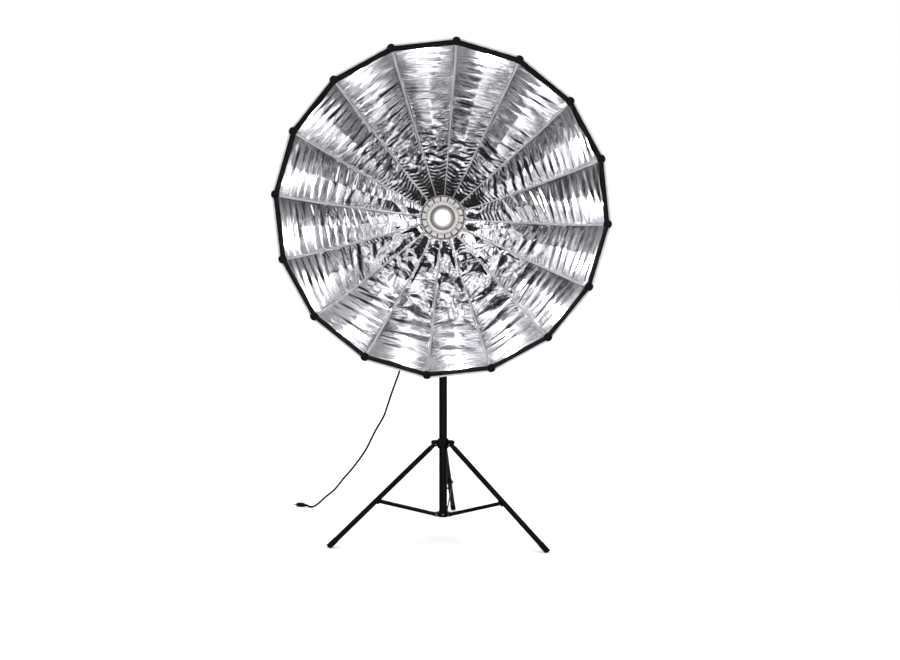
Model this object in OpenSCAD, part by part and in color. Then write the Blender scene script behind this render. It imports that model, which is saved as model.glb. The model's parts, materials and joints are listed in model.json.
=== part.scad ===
// Deep sixteen-rib umbrella reflector on a continuous lamp, with its yoke, mast and folding tripod.
// The lamp's axis is level and points along -Y. Units are millimetres, +Z is up, the feet rest at z = 0,
// and the origin is the centre of the stand and reflector's box, at its base.

/* [Reflector] */
// Distance from the axis to a corner of the canopy
rim_r = 600; // [540:5:620]
// Depth of the bowl, from the hub's face to the rim
bowl_depth = 555; // [480:5:600]
// How far a rib bows outwards from its straight chord
rib_bow = 90; // [60:5:110]
// Turn of the first rib from the top, clockwise from the front
rib_turn = 5.1; // [0:0.1:11]
// Diameter of a rib's rod
rib_d = 5; // [4:0.5:6]
// Thickness of the canopy's solid
canopy_t = 1.5; // [1:0.1:1.5]

/* [Lamp] */
// Height of the lamp's axis above the floor
axis_z = 1365; // [1340:5:1400]
// Distance from the tilt axis forward to the hub's face
hub_ahead = 245; // [235:5:260]
// Outer diameter of the lamp's casing
casing_d = 124; // [120:2:128]
// Diameter of the mains lead
cord_d = 9; // [6:0.5:10]

/* [Stand] */
// Outer diameter of the lower tube
tube_d = 35; // [34:0.5:36]
// Outer diameter of the upper tube
mast_d = 30; // [28:0.5:31]
// Outer diameter of a leg
leg_d = 22; // [20:0.5:23]
// Height of the leg pivots
leg_pivot_z = 402; // [396:1:416]
// Height of the brace pivots
brace_pivot_z = 96; // [90:1:100]
// Distance from the tube's axis to the foot of a leg
foot_r = 515; // [490:5:530]
// Direction of the rear leg, seen from above, from +X
rear_leg_turn = 85; // [80:1:95]
// Share of a leg's length at which its brace joins it
brace_share = 0.56; // [0.52:0.01:0.58]

/* [Hidden] */
$fn = 64;
eps = 0.01;
fit = 0.05;             // radial clearance of a running fit
side_gap = 0.4;         // gap between faces that slide past each other
joint_gap = 0.3;        // gap between fixed faces on different bodies

// Reflector: a rib is an arc in the plane of its radius r and its distance d ahead of the hub's face
rib_count = 16;
pitch = 360 / rib_count;
half_pitch = pitch / 2;
hub_r = 85;             // where the rib's arc starts
canopy_r = 89;          // where the fabric starts
cap_w = 26;
cap_r = 15;
cap_in = 6;             // from a corner of the canopy in to the middle of its cap
cap_t = 6;
cap_gap = 0.8;          // between the canopy's front edge and a cap
chord = norm([rim_r - hub_r, bowl_depth]);
arc_r = chord * chord / (8 * rib_bow) + rib_bow / 2;
bow_side = [bowl_depth, hub_r - rim_r] / chord;
arc_c = [(rim_r + hub_r) / 2, bowl_depth / 2] - bow_side * (arc_r - rib_bow);
arc_start = atan2(-arc_c[1], hub_r - arc_c[0]);
arc_end = atan2(bowl_depth - arc_c[1], rim_r - arc_c[0]);
canopy_start = -acos((canopy_r - arc_c[0]) / arc_r);
rod_off = canopy_t * 1.1 + side_gap + rib_d / 2;
pivot_r = 76;           // rib hinge
pivot_d = -6;
block_w = 18;
pin_r = 1.5;
ear_t = 2;

// Lamp, measured as distances ahead of the hub's face
mount_face = -36;
casing_front = -40;
casing_back = -350;
casing_wall = 3;
casing_r = casing_d / 2;
dome_r = 48;
dome_h = 34;
dome_sphere = (dome_r * dome_r + dome_h * dome_h) / (2 * dome_h);
spigot_r = 58;
lug_r = 61;
lug_turn = 5;           // where a bayonet lug starts, and how wide it is
lug_width = 24;
tilt_r = 6;             // tilt bolt
dial_at = [26, 20];
gland_at = [-28, -34];

// Yoke
arm_in = 78;
arm_t = 6;
arm_w = 40;
bolt_head_x = arm_in + arm_t + side_gap + 6;
yoke_floor = 135;       // from the tilt axis down to the top of the cross bar
arm_drop = yoke_floor - 20; // from the tilt axis down to where an arm joins its root
bar_t = 8;
stud_r = 8;
receiver_r = 18;
receiver_h = 42;
holder_r = 4.1;         // umbrella shaft socket
holder_x = 42;
holder_drop = 21;       // from the top of the cross bar to the socket's axis
holder_l = 46;

// Stand
tube_r = tube_d / 2;
mast_r = mast_d / 2;
tube_bottom = brace_pivot_z - 12;
tube_top = 775;
clamp_z = 742;
clamp_h = 52;
mast_top = axis_z - yoke_floor - bar_t - receiver_h;
mast_bottom = 600;
pivot_arm = 40;         // tube's axis to the leg and brace pivots
leg_pin_r = 3;
brace_pin_r = 2.5;
tongue_w = 12.4;
lug_t = 5;
leg_r = leg_d / 2;
foot_pad_r = leg_d / 2 + 0.8;
foot_pad_l = 12;        // past the point where the leg's length is measured
foot_lift = 10;
leg_vec = [foot_r - pivot_arm, foot_lift - leg_pivot_z];
leg_len = norm(leg_vec);
leg_lean = atan2(leg_vec[0], -leg_vec[1]);
joint_drop = 8;         // brace joint below the leg's own axis
joint_along = brace_share * leg_len;
joint_at = [
    pivot_arm + joint_along * sin(leg_lean) - joint_drop * cos(leg_lean),
    leg_pivot_z - joint_along * cos(leg_lean) - joint_drop * sin(leg_lean)
];
brace_vec = joint_at - [pivot_arm, brace_pivot_z];
brace_len = norm(brace_vec);
brace_lean = atan2(brace_vec[0], brace_vec[1]);
brace_h = 14;
brace_plate = 3.2;
brace_in = 12.6;        // half the gap between a brace's two sides
leg_turns = [rear_leg_turn, rear_leg_turn + 120, rear_leg_turn + 240];
front_reach = hub_ahead + bowl_depth + cap_gap + cap_t;
rear_reach = (foot_r + foot_pad_l * sin(leg_lean) + foot_pad_r * cos(leg_lean)) * sin(rear_leg_turn);
mast_y = (front_reach - rear_reach) / 2;

// Route of the mains lead, from the gland to the plug, with the mast's axis at x = y = 0
route = [
    [-28, 145, 1331], [-28, 165, 1331], [-30, 185, 1323], [-36, 200, 1298], [-45, 210, 1252],
    [-59, 218, 1190], [-80, 230, 1100], [-108, 246, 1000], [-140, 264, 890], [-173, 282, 784],
    [-205, 299, 682], [-240, 320, 586], [-260, 332, 526], [-280, 344, 472], [-320, 367, 402],
    [-368, 395, 308], [-428, 430, 222], [-475, 458, 166], [-522, 486, 106], [-575, 517, 58],
    [-603, 533, 30], [-628, 547, 11], [-648, 558, 5], [-668, 570, 9]
];
route_steps = 3;        // rings along each stretch between two points
plug_turn = 150;
plug_z = 9;

// ---------- placing ----------

module at_mast() {
    translate([0, mast_y, 0]) children();
}

// Frame of one leg: +X runs outwards from the tube, Y is across it
module leg_frame(turn) {
    at_mast() rotate([0, 0, turn]) children();
}

// Lamp frame: +Z runs forwards from the hub's face along the axis, X is across and Y is up
module lamp_frame() {
    translate([0, mast_y - hub_ahead, axis_z]) rotate([90, 0, 0]) children();
}

// Frame of one rib or gore: +X runs outwards, +Z forwards; the angle is clockwise from the top
module spoke_frame(turn) {
    lamp_frame() rotate([0, 0, 90 - turn]) children();
}

function rib_angle(i) = rib_turn + pitch * i;

function gore_angle(i) = rib_turn + pitch * (i + 0.5);

function arc_point(a, off) = arc_c + (arc_r + off) * [cos(a), sin(a)];

// A lobed clamping knob along +Z, with its screw below it
module knob(r, h, screw_r, screw_l) {
    difference() {
        cylinder(r = r, h = h);
        for (i = [0:5])
            rotate([0, 0, 60 * i])
                translate([r * 1.12, 0, -1])
                    cylinder(r = r * 0.28, h = h + 2, $fn = 32);
    }
    translate([0, 0, -screw_l]) cylinder(r = screw_r, h = screw_l + eps, $fn = 32);
}

// A flat bar with round ends, from the origin along +X, h wide and t thick about Y = 0
module link_bar(l, h, t) {
    rotate([90, 0, 0]) {
        translate([0, -h / 2, -t / 2]) cube([l, h, t]);
        for (x = [0, l]) translate([x, 0, -t / 2]) cylinder(r = h / 2, h = t);
    }
}

// ---------- stand ----------

module base_tube() color("#17171a") {
    at_mast() {
        translate([0, 0, tube_bottom])
            difference() {
                cylinder(r = tube_r, h = tube_top - tube_bottom);
                translate([0, 0, 6]) cylinder(r = tube_r - 1.7, h = tube_top - tube_bottom);
            }
    }
}

module base_collar() color("#101012") {
    at_mast() translate([0, 0, brace_pivot_z]) {
        difference() {
            translate([0, 0, -14]) cylinder(r = tube_r + 5, h = 22);
            translate([0, 0, -12]) cylinder(r = tube_r, h = 30);
        }
    }
    for (turn = leg_turns) leg_frame(turn) translate([0, 0, brace_pivot_z])
        difference() {
            union() {
                translate([tube_r + 2, -12.2, -9]) cube([pivot_arm - tube_r - 2, 24.4, 16]);
                translate([pivot_arm, 0, -1]) rotate([90, 0, 0]) cylinder(r = 8, h = 24.4, center = true);
            }
            translate([0, 0, -20]) cylinder(r = tube_r + 3, h = 40);
            translate([pivot_arm, 0, 0]) rotate([90, 0, 0])
                cylinder(r = brace_pin_r + 0.02, h = 40, center = true);
        }
}

module brace_pins() color("#8d8f92") {
    for (turn = leg_turns) leg_frame(turn) translate([pivot_arm, 0, brace_pivot_z]) rotate([90, 0, 0]) {
        cylinder(r = brace_pin_r, h = 2 * (brace_in + brace_plate + side_gap) + 2 * eps, center = true);
        for (s = [-1, 1])
            translate([0, 0, s * (brace_in + brace_plate + side_gap + 0.8)])
                cylinder(r = 4.5, h = 1.6, center = true);
    }
}

// The sliding collar, with a forked lug and a riveted pin for each leg
module leg_collar() color("#101012") {
    knob_turn = rear_leg_turn + 180;
    at_mast() difference() {
        union() {
            translate([0, 0, leg_pivot_z - 20]) cylinder(r = tube_r + 6, h = 40);
            rotate([0, 0, knob_turn]) translate([tube_r + 1, 0, leg_pivot_z + 8])
                rotate([0, 90, 0]) cylinder(r = 9, h = 12);
        }
        cylinder(r = tube_r + fit, h = tube_top);
        rotate([0, 0, knob_turn]) translate([0, 0, leg_pivot_z + 8])
            rotate([0, 90, 0]) cylinder(r = 3 + fit, h = 60);
    }
    for (turn = leg_turns, s = [-1, 1]) leg_frame(turn)
        translate([0, s * (tongue_w / 2 + side_gap + lug_t / 2), leg_pivot_z])
            difference() {
                union() {
                    translate([tube_r + 3, -lug_t / 2, -10]) cube([27 - 3, lug_t, 26]);
                    translate([tube_r + 25, 0, 6]) rotate([90, 0, 0])
                        cylinder(r = 10, h = lug_t, center = true);
                }
                translate([0, 0, -30]) cylinder(r = tube_r + 4, h = 80);
            }
    reach = tongue_w / 2 + side_gap + lug_t;
    for (turn = leg_turns) leg_frame(turn) translate([pivot_arm, 0, leg_pivot_z]) rotate([90, 0, 0]) {
        cylinder(r = leg_pin_r, h = 2 * reach + 2 * eps, center = true);
        for (s = [-1, 1]) translate([0, 0, s * (reach + 1)]) cylinder(r = 5, h = 2, center = true);
    }
}

module leg_knob() color("#0c0c0e") {
    leg_frame(rear_leg_turn + 180) translate([tube_r + 14, 0, leg_pivot_z + 8]) rotate([0, 90, 0])
        knob(15, 14, 3, 13);
}

// One leg: a hinge tongue, a tube, the brace's bracket and a rubber foot that is flat on the floor
module leg(turn) color("#17171a") {
    leg_frame(turn) difference() {
        translate([pivot_arm, 0, leg_pivot_z]) rotate([0, 180 - leg_lean, 0])
            leg_straight();
        translate([0, 0, -100]) translate([foot_r - 80, -40, 0]) cube([160, 80, 100]);
    }
}

// The leg along +Z from its pivot; the side that faces the floor is +X
module leg_straight() {
    difference() {
        union() {
            rotate([90, 0, 0]) cylinder(r = 8, h = tongue_w, center = true);
            translate([-8, -tongue_w / 2, 0]) cube([16, tongue_w, 40]);
            translate([0, 0, 24]) cylinder(r = leg_r, h = leg_len - 24 - 6);
            translate([0, 0, leg_len - 30]) cylinder(r = foot_pad_r, h = 30 + foot_pad_l);
            translate([-4, -11.6, joint_along - 13]) cube([joint_drop + 10, 23.2, 26]);
        }
        rotate([90, 0, 0]) cylinder(r = leg_pin_r + fit, h = 40, center = true);
        translate([0, 0, 60]) cylinder(r = leg_r - 2, h = joint_along - 80);
    }
}

// One brace: two flat bars and two cross plates, with rivet heads outside the open joint to its leg
module brace(turn) color("#131315") {
    leg_frame(turn) translate([pivot_arm, 0, brace_pivot_z]) rotate([0, brace_lean - 90, 0])
        brace_straight();
}

// The brace along +X from its pivot, with its cross plates on the +Z side
module brace_straight() {
    y = brace_in + brace_plate / 2;
    web_end = brace_len - 66;   // the leg's bracket swings beyond this
    difference() {
        union() {
            for (s = [-1, 1]) {
                translate([0, s * y, 0]) link_bar(brace_len, brace_h, brace_plate);
                translate([brace_len, s * (y + brace_plate / 2 + 0.7), 0]) rotate([90, 0, 0])
                    cylinder(r = 4.5, h = 1.4 + 2 * eps, center = true);
            }
            for (x = [22, web_end - 14]) translate([x, -y, brace_h / 2 - 2.2]) cube([14, 2 * y, 2.2]);
        }
        rotate([90, 0, 0]) cylinder(r = brace_pin_r + fit, h = 60, center = true);
    }
}

module mast_clamp() color("#101012") {
    at_mast() difference() {
        union() {
            translate([0, 0, clamp_z]) cylinder(r = tube_r + 6, h = clamp_h);
            translate([tube_r - 2, -11, clamp_z + 8]) cube([22, 22, 34]);
        }
        translate([0, 0, clamp_z - 1]) cylinder(r = tube_r, h = tube_top - clamp_z + 1);
        translate([0, 0, clamp_z]) cylinder(r = mast_r + fit, h = clamp_h + 1);
        translate([mast_r + 1, 0, clamp_z + 42]) rotate([0, 90, 0]) translate([17, 0, 0])
            cylinder(r = 3 + fit, h = 60);
    }
}

module clamp_knob() color("#0c0c0e") {
    at_mast() translate([tube_r + 21, 0, clamp_z + 25]) rotate([0, 90, 0]) knob(17, 15, 3, 16);
}

module mast_tube() color("#1b1b1e") {
    at_mast() {
        difference() {
            translate([0, 0, mast_bottom]) cylinder(r = mast_r, h = mast_top - mast_bottom);
            translate([0, 0, mast_bottom - 1]) cylinder(r = mast_r - 1.5, h = mast_top - mast_bottom - 19);
        }
        translate([0, 0, mast_top - eps]) difference() {
            cylinder(r = stud_r, h = receiver_h - 3);
            translate([0, 0, 16]) rotate_extrude()
                translate([stud_r + 1, 0]) circle(r = 3, $fn = 32);
        }
    }
}

// ---------- lamp ----------

// Outline of the yoke across the lamp: two arms and a cross bar with round corners
module yoke_outline(reach, drop, corner) {
    translate([-reach, corner - drop]) square([2 * reach, drop - corner]);
    translate([corner - reach, -drop]) square([2 * (reach - corner), corner + eps]);
    for (s = [-1, 1]) translate([s * (reach - corner), corner - drop]) circle(r = corner);
}

// The yoke's foot: the cross bar with the roots of both arms, the receiver and the umbrella socket
module yoke() color("#1b1b1e") {
    translate([0, mast_y, axis_z]) difference() {
        union() {
            rotate([90, 0, 0]) linear_extrude(arm_w, center = true) difference() {
                yoke_outline(arm_in + arm_t, yoke_floor + bar_t, 22);
                yoke_outline(arm_in, yoke_floor, 16);
                translate([-arm_in - 20, -arm_drop]) square([2 * arm_in + 40, arm_drop + 1]);
            }
            translate([0, 0, -yoke_floor - bar_t - receiver_h])
                cylinder(r = receiver_r, h = receiver_h + 1);
            translate([holder_x - 9, -holder_l / 2, -yoke_floor - holder_drop - 9])
                cube([18, holder_l, holder_drop + 9 - bar_t + 1]);
            translate([-receiver_r - 6, 0, -yoke_floor - bar_t - 22]) rotate([0, 90, 0])
                cylinder(r = 8, h = 12);
        }
        translate([0, 0, -yoke_floor - bar_t - receiver_h - 1])
            cylinder(r = stud_r + fit, h = receiver_h - 1);
        translate([holder_x, 0, -yoke_floor - holder_drop]) rotate([90, 0, 0])
            cylinder(r = holder_r, h = 80, center = true);
        translate([-60, 0, -yoke_floor - bar_t - 22]) rotate([0, 90, 0])
            cylinder(r = 3 + fit, h = 55);
    }
}

// The yoke's two arms, from where they are straight up to the tilt bolt
module yoke_arms() color("#1b1b1e") {
    translate([0, mast_y, axis_z]) for (s = [-1, 1]) difference() {
        union() {
            translate([s * (arm_in + arm_t / 2), 0, -arm_drop / 2])
                cube([arm_t, arm_w, arm_drop], center = true);
            translate([s * (arm_in + arm_t / 2), 0, 0]) rotate([0, 90, 0])
                cylinder(r = arm_w / 2, h = arm_t, center = true);
        }
        rotate([0, 90, 0]) cylinder(r = tilt_r + fit, h = 300, center = true);
    }
}

module yoke_knob() color("#0c0c0e") {
    translate([-receiver_r - 7, mast_y, axis_z - yoke_floor - bar_t - 22]) rotate([0, -90, 0])
        knob(14, 14, 3, 12);
}

module tilt_lever() color("#0c0c0e") {
    translate([arm_in + arm_t + side_gap, mast_y, axis_z]) {
        rotate([0, 90, 0]) cylinder(r = 15, h = 15);
        translate([11, 0, 0]) rotate([-55, 0, 0]) {
            cylinder(r = 6.5, h = 66);
            translate([0, 0, 66]) sphere(r = 9);
        }
    }
}

module lamp_housing() color("#202024") {
    inner_r = casing_r - casing_wall;
    lamp_frame() difference() {
        union() {
            translate([0, 0, casing_back]) cylinder(r = casing_r, h = casing_front - casing_back);
            for (i = [0:7]) translate([0, 0, casing_front - 14 - 9 * i])
                cylinder(r = casing_r + 4, h = 4.5);
            translate([0, 0, -hub_ahead]) rotate([0, 90, 0])
                cylinder(r = 19, h = 2 * (arm_in - joint_gap), center = true);
            translate([-bolt_head_x, 0, -hub_ahead]) rotate([0, 90, 0])
                cylinder(r = tilt_r, h = bolt_head_x + arm_in + arm_t - 0.5);
            translate([-bolt_head_x, 0, -hub_ahead]) rotate([0, 90, 0])
                cylinder(r = 11, h = 6);
        }
        translate([0, 0, casing_back - 1]) cylinder(r = inner_r, h = casing_front - casing_back - 5);
        translate([0, 0, casing_front - 7]) cylinder(r = 26, h = 10);
    }
    // the light engine: the emitter's disc, its flange behind the front wall, a finned core and the driver
    lamp_frame() translate([0, 0, casing_front - 6 - 2 * eps]) {
        translate([0, 0, -4]) cylinder(r = 24, h = 8);
        translate([0, 0, -4]) cylinder(r = 34, h = 4);
        for (i = [1:10]) translate([0, 0, -8 - 14 * i]) cylinder(r = 46, h = 4);
        translate([0, 0, -150]) cylinder(r = 17, h = 148);
        translate([-40, -32, -270]) cube([80, 64, 121]);
    }
}

// The lamp's front flange: a bayonet socket with a groove and three entry slots
module lamp_mount() color("#26262a") {
    lamp_frame() difference() {
        translate([0, 0, casing_front]) cylinder(r = casing_r + 2, h = 22);
        translate([0, 0, mount_face]) cylinder(r = spigot_r + fit, h = 30);
        translate([0, 0, casing_front - 1]) cylinder(r = 40, h = 30);
        translate([0, 0, -32]) cylinder(r = lug_r + joint_gap, h = 6);
        for (i = [0:2]) rotate([0, 0, 120 * i + lug_turn + lug_width]) rotate_extrude(angle = lug_width + 4)
            translate([spigot_r - 2, -28]) square([lug_r + 0.8 - spigot_r + 2, 20]);
    }
}

module glass_dome() color("#f4f2ea") {
    base = mount_face;
    sphere_z = base + dome_h - dome_sphere;
    lamp_frame() difference() {
        union() {
            translate([0, 0, base]) cylinder(r = dome_r + 2, h = 3);
            intersection() {
                translate([0, 0, sphere_z]) sphere(r = dome_sphere, $fn = 96);
                translate([0, 0, base]) cylinder(r = 60, h = 60);
            }
        }
        intersection() {
            translate([0, 0, sphere_z]) sphere(r = dome_sphere - 2.5, $fn = 96);
            translate([0, 0, base - 1]) cylinder(r = 60, h = 60);
        }
        translate([0, 0, base - 1]) cylinder(r = 44, h = 4);
    }
}

module rear_panel() color("#141416") {
    lamp_frame() difference() {
        union() {
            translate([0, 0, casing_back]) cylinder(r = casing_r - casing_wall - 0.05, h = 5);
            translate([-34, 6, casing_back - 1.5]) cube([38, 26, 2]);
        }
        translate([dial_at[0], dial_at[1], casing_back - 5]) cylinder(r = 3 + fit, h = 20);
        translate([gland_at[0], gland_at[1], casing_back - 5]) cylinder(r = 6.5, h = 20);
    }
}

module control_dial() color("#2b2b2f") {
    lamp_frame() translate([dial_at[0], dial_at[1], casing_back - joint_gap]) {
        translate([0, 0, -14]) cylinder(r = 12.5, h = 14);
        translate([0, 0, -eps]) cylinder(r = 3, h = 12);
    }
}

// Cable gland and its tapered strain relief, which ends at the lead's first point
module cord_gland() color("#0f0f11") {
    lead_z = -hub_ahead - route[0][1];
    collar_z = casing_back - 4;
    lamp_frame() translate([gland_at[0], gland_at[1], 0]) {
        translate([0, 0, collar_z + 4]) cylinder(r = 6.5, h = 9);
        translate([0, 0, collar_z]) cylinder(r = 9.5, h = 4);
        translate([0, 0, lead_z]) cylinder(r1 = cord_d / 2 + 0.6, r2 = 7.5, h = collar_z - lead_z);
    }
}

// The route's own heights suit a gland at 1331; another lamp height stretches them in proportion
function route_point(i) =
    let (p = route[max(0, min(len(route) - 1, i))])
    [p[0], p[1], p[2] * (axis_z + gland_at[1]) / route[0][2]];

// Smooth curve through the route's points, t from 0 to 1 along stretch i
function route_at(i, t) =
    let (a = route_point(i - 1), b = route_point(i), c = route_point(i + 1), d = route_point(i + 2))
    0.5 * (2 * b + (c - a) * t + (2 * a - 5 * b + 4 * c - d) * t * t + (3 * b - 3 * c + d - a) * t * t * t);

function unit(v) = v / norm(v);

module cord() color("#111113") {
    sides = 8;
    last = len(route) - 1;
    path = [for (i = [0:last - 1], j = [0:route_steps - 1]) route_at(i, j / route_steps)];
    centres = concat(path, [route_point(last)]);
    ahead = [cos(plug_turn), sin(plug_turn), 0];
    n = len(centres);
    lean = [1, 0.3, 0];
    rings = [
        for (i = [0:n - 1])
            let (
                raw = centres[min(n - 1, i + 1)] - centres[max(0, i - 1)],
                way = i == 0 ? [0, 1, 0] : i == n - 1 ? ahead : unit(raw),
                u = unit(cross(way, lean)),
                v = cross(way, u)
            )
            for (k = [0:sides - 1])
                centres[i] + cord_d / 2 * (cos(360 * k / sides) * u + sin(360 * k / sides) * v)
    ];
    skin = [
        for (i = [0:n - 2], k = [0:sides - 1])
            let (m = (k + 1) % sides)
            each [
                [(i + 1) * sides + m, i * sides + m, i * sides + k],
                [(i + 1) * sides + k, (i + 1) * sides + m, i * sides + k]
            ]
    ];
    ends = [
        [for (k = [0:sides - 1]) k],
        [for (k = [sides - 1:-1:0]) (n - 1) * sides + k]
    ];
    at_mast() polyhedron(points = rings, faces = concat(skin, ends), convexity = 8);
}

// A plain two-pin plug lying on the floor at the end of the lead
module mains_plug() color("#0f0f11") {
    end = route[len(route) - 1];
    at_mast() translate([end[0], end[1], plug_z]) rotate([0, 0, plug_turn]) {
        rotate([0, 90, 0]) cylinder(r1 = cord_d / 2 + 0.5, r2 = 7, h = 20);
        translate([20 - eps, 0, 0]) {
            translate([0, -9, -9]) cube([34, 18, 18]);
            for (s = [-1, 1]) {
                translate([0, s * 9, 0]) rotate([0, 90, 0]) cylinder(r = 9, h = 34);
                translate([34 - eps, s * 9.5, 0]) rotate([0, 90, 0]) cylinder(r = 2.4, h = 19);
            }
        }
    }
}

// ---------- hub, ribs and canopy ----------

module speed_ring() color("#cfccc4") {
    lamp_frame() difference() {
        union() {
            translate([0, 0, -16]) cylinder(r = 62, h = 17);
            translate([0, 0, -34]) cylinder(r = spigot_r, h = 19);
            for (i = [0:2]) rotate([0, 0, 120 * i + lug_turn]) rotate_extrude(angle = lug_width)
                translate([spigot_r - 2, -31]) square([lug_r - spigot_r + 2, 4]);
        }
        translate([0, 0, -40]) cylinder(r = 51.5, h = 60);
        translate([0, 0, -5]) cylinder(r1 = 50.5, r2 = 57, h = 6.5);
    }
    for (i = [0:rib_count - 1], s = [-1, 1]) spoke_frame(rib_angle(i))
        translate([0, s * (block_w / 2 + side_gap + ear_t / 2), pivot_d]) difference() {
            translate([60, -ear_t / 2, -6]) cube([pivot_r - 60 + 5, ear_t, 11]);
            translate([pivot_r, 0, 0]) rotate([90, 0, 0])
                cylinder(r = pin_r + 0.02, h = 10, center = true);
        }
}

module rib_pins() color("#9a9ca0") {
    for (i = [0:rib_count - 1]) spoke_frame(rib_angle(i)) translate([pivot_r, 0, pivot_d])
        rotate([90, 0, 0]) cylinder(r = pin_r, h = block_w + 2 * (side_gap + ear_t), center = true, $fn = 24);
}

// One rib: its hinge block, its bowed rod and the cap that holds the canopy's corner
module rib(i) color("#1c1c1f") {
    spoke_frame(rib_angle(i)) {
        difference() {
            union() {
                translate([68, -block_w / 2, -11]) cube([16, block_w, 13]);
                translate([arc_c[0], 0, arc_c[1]]) rotate([90, 0, 0])
                    rotate([0, 0, arc_start - 0.3])
                        rotate_extrude(angle = arc_end - arc_start + 0.3)
                            translate([arc_r + rod_off, 0]) circle(d = rib_d, $fn = 32);
            }
            translate([pivot_r, 0, pivot_d]) rotate([90, 0, 0])
                cylinder(r = pin_r + fit, h = 60, center = true);
        }
        translate([0, 0, bowl_depth]) intersection() {
            union() {
                translate([rim_r - cap_in - cap_r, -cap_w / 2, cap_gap])
                    cube([2 * cap_r, cap_w, cap_t]);
                translate([rim_r + canopy_t * 1.1 + side_gap, -cap_w / 2, -26])
                    cube([cap_r, cap_w, 28]);
            }
            translate([rim_r - cap_in, 0, -40]) cylinder(r = cap_r, h = 60);
        }
    }
}

// A point of the middle line of a panel, which lies flat between its two ribs
function panel_point(a, off) =
    let (p = arc_point(a, off))
    [p[0] * cos(half_pitch), p[1]];

// One gore of the canopy: the bowed panel between two ribs
module gore(i) color("#b9bbbf") {
    steps = 18;
    angles = [for (j = [0:steps]) canopy_start + (arc_end - canopy_start) * j / steps];
    inner = [for (j = [0:steps]) panel_point(angles[j], 0)];
    outer = [for (j = [steps:-1:0]) panel_point(angles[j], canopy_t)];
    apex = joint_gap / sin(half_pitch);
    reach = rim_r + 50;
    spread = (reach - apex) * tan(half_pitch);
    spoke_frame(gore_angle(i)) intersection() {
        rotate([90, 0, 0]) linear_extrude(2 * spread, center = true) polygon(concat(inner, outer));
        translate([0, 0, -50]) linear_extrude(bowl_depth + 100)
            polygon([[apex, 0], [reach, -spread], [reach, spread]]);
    }
}

base_tube();
base_collar();
brace_pins();
leg_collar();
leg_knob();
leg(leg_turns[0]);  // leg_rear
leg(leg_turns[1]);  // leg_left
leg(leg_turns[2]);  // leg_right
brace(leg_turns[0]);  // brace_rear
brace(leg_turns[1]);  // brace_left
brace(leg_turns[2]);  // brace_right
mast_clamp();
clamp_knob();
mast_tube();
yoke();
yoke_arms();
yoke_knob();
tilt_lever();
lamp_housing();
lamp_mount();
glass_dome();
rear_panel();
control_dial();
cord_gland();
cord();
mains_plug();
speed_ring();
rib_pins();
rib(0);  // rib_01
rib(1);  // rib_02
rib(2);  // rib_03
rib(3);  // rib_04
rib(4);  // rib_05
rib(5);  // rib_06
rib(6);  // rib_07
rib(7);  // rib_08
rib(8);  // rib_09
rib(9);  // rib_10
rib(10);  // rib_11
rib(11);  // rib_12
rib(12);  // rib_13
rib(13);  // rib_14
rib(14);  // rib_15
rib(15);  // rib_16
gore(0);  // gore_01
gore(1);  // gore_02
gore(2);  // gore_03
gore(3);  // gore_04
gore(4);  // gore_05
gore(5);  // gore_06
gore(6);  // gore_07
gore(7);  // gore_08
gore(8);  // gore_09
gore(9);  // gore_10
gore(10);  // gore_11
gore(11);  // gore_12
gore(12);  // gore_13
gore(13);  // gore_14
gore(14);  // gore_15
gore(15);  // gore_16
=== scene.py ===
"""Looks of the umbrella reflector: its lead, canopy, trim, hub, lamp and stand, and the studio round them.

Everything is in metres in the model's own frame: +Z up, the reflector faces -Y, and the feet stand on z = 0.
"""
import json
import math

import bpy
import numpy as np
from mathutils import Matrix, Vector


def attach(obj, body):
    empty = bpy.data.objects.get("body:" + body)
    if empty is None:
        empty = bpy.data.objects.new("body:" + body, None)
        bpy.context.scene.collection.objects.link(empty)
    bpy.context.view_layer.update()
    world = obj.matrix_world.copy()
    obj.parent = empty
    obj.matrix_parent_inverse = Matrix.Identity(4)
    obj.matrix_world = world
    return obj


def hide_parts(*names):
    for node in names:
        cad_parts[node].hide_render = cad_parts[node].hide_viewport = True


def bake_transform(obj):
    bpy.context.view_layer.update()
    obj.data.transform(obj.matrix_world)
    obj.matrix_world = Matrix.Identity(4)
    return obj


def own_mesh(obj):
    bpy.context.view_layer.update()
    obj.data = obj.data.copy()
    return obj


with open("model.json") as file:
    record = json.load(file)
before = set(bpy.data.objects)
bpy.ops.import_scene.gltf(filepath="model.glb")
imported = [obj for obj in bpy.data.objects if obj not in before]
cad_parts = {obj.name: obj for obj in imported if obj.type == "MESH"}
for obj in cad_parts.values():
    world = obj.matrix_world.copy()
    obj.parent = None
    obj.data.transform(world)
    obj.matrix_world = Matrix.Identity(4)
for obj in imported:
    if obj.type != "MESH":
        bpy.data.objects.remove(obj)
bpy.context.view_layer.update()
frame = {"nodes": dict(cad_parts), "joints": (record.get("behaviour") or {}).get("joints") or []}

joints = {j["name"]: j for j in frame["joints"]}

# ---------- places, from the frame ----------

RIBS = 16
PITCH = math.tau / RIBS
HALF = PITCH / 2
hub = Vector(joints["bayonet_twist"]["pos_m"])          # centre of the hub's face
tilt = Vector(joints["tilt"]["pos_m"])                  # where the tilt axis crosses the lamp's axis
mast = Vector((0, tilt.y, 0))                           # foot of the mast's axis
first_rib = Vector(joints["rib_01_fold"]["pos_m"]) - hub
rib_turn = math.atan2(first_rib.x, first_rib.z)         # clockwise from the top, seen from the front

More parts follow.
